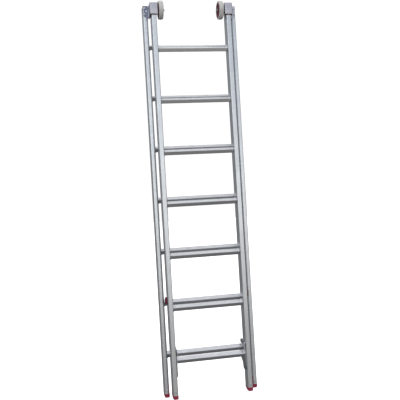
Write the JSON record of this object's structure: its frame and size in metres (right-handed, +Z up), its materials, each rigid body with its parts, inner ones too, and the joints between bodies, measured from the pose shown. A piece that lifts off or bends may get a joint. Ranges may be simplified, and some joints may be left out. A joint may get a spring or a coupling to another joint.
{
  "type": "extension ladder",
  "caption": "Aluminium push-up extension ladder, closed up: the front fly slides up the base in lined guides, hooks onto a base rung, and its top wheels roll up the wall.",
  "frame": {"origin": "on the floor, at the middle of the closed ladder's outer box, left to right and front to back", "axes": "+Z up along the stiles, +X across the rungs to the climber's right, +Y from the climber's side towards the wall"},
  "size_m": [0.463, 0.124, 1.918],
  "materials": {
    "stile_aluminium": "satin extruded aluminium with fine lengthwise die lines",
    "rung_aluminium": "satin extruded aluminium with a ribbed tread",
    "bracket_aluminium": "folded sheet, satin",
    "zinc_steel": "bright zinc-plated steel",
    "red_plastic": "moulded crimson plastic, fine grain",
    "dark_red_plastic": "moulded dark red plastic",
    "grey_rubber": "non-marking grey rubber",
    "cap_plastic": "moulded dark grey plastic"
  },
  "bodies": {
    "base": {"base_stile_left": "stile_aluminium", "base_stile_right": "stile_aluminium", "base_rung_1": "rung_aluminium", "base_rung_2": "rung_aluminium", "base_rung_3": "rung_aluminium", "base_rung_4": "rung_aluminium", "base_rung_5": "rung_aluminium", "base_rung_6": "rung_aluminium", "base_rung_7": "rung_aluminium", "base_foot_left": "red_plastic", "base_foot_right": "red_plastic", "base_foot_rivet_left": "zinc_steel", "base_foot_rivet_right": "zinc_steel", "base_top_cap_left": "cap_plastic", "base_top_cap_right": "cap_plastic", "guide_bracket_left": "bracket_aluminium", "guide_bracket_right": "bracket_aluminium", "guide_rivet_left_1": "zinc_steel", "guide_rivet_left_2": "zinc_steel", "guide_rivet_left_3": "zinc_steel", "guide_rivet_right_1": "zinc_steel", "guide_rivet_right_2": "zinc_steel", "guide_rivet_right_3": "zinc_steel"},
    "guide_liners": {"guide_liner_left": "dark_red_plastic", "guide_liner_right": "dark_red_plastic"},
    "fly": {"fly_stile_left": "stile_aluminium", "fly_stile_right": "stile_aluminium", "fly_rung_1": "rung_aluminium", "fly_rung_2": "rung_aluminium", "fly_rung_3": "rung_aluminium", "fly_rung_4": "rung_aluminium", "fly_rung_5": "rung_aluminium", "fly_rung_6": "rung_aluminium", "fly_rung_7": "rung_aluminium", "fly_foot_left": "red_plastic", "fly_foot_right": "red_plastic", "fly_foot_rivet_left": "zinc_steel", "fly_foot_rivet_right": "zinc_steel", "fly_top_plug_left": "cap_plastic", "fly_top_plug_right": "cap_plastic", "rung_hook_left": "zinc_steel", "rung_hook_right": "zinc_steel", "hook_rivet_left_1": "zinc_steel", "hook_rivet_left_2": "zinc_steel", "hook_rivet_right_1": "zinc_steel", "hook_rivet_right_2": "zinc_steel", "side_pad_left": "dark_red_plastic", "side_pad_right": "dark_red_plastic", "wheel_axle_left": "zinc_steel", "wheel_axle_right": "zinc_steel", "wheel_spacer_left": "zinc_steel", "wheel_spacer_right": "zinc_steel", "axle_nut_left": "zinc_steel", "axle_nut_right": "zinc_steel"},
    "wheel_left": {"wheel_tyre_left": "grey_rubber", "wheel_hub_left": "dark_red_plastic"},
    "wheel_right": {"wheel_tyre_right": "grey_rubber", "wheel_hub_right": "dark_red_plastic"}
  },
  "joints": [
    {"name": "fly_swing", "type": "hinge", "parent": "base", "child": "guide_liners", "pos_m": [0, -0.017, 1.868], "axis": [-1, 0, 0], "range_deg": [0, 3]},
    {"name": "fly_slide", "type": "slide", "parent": "guide_liners", "child": "fly", "axis": [0, 0, 1], "range_m": [0, 1]},
    {"name": "wheel_left_spin", "type": "hinge", "parent": "fly", "child": "wheel_left", "pos_m": [-0.148, -0.017, 1.873], "axis": [1, 0, 0], "continuous": true},
    {"name": "wheel_right_spin", "type": "hinge", "parent": "fly", "child": "wheel_right", "pos_m": [0.148, -0.017, 1.873], "axis": [1, 0, 0], "continuous": true}
  ]
}
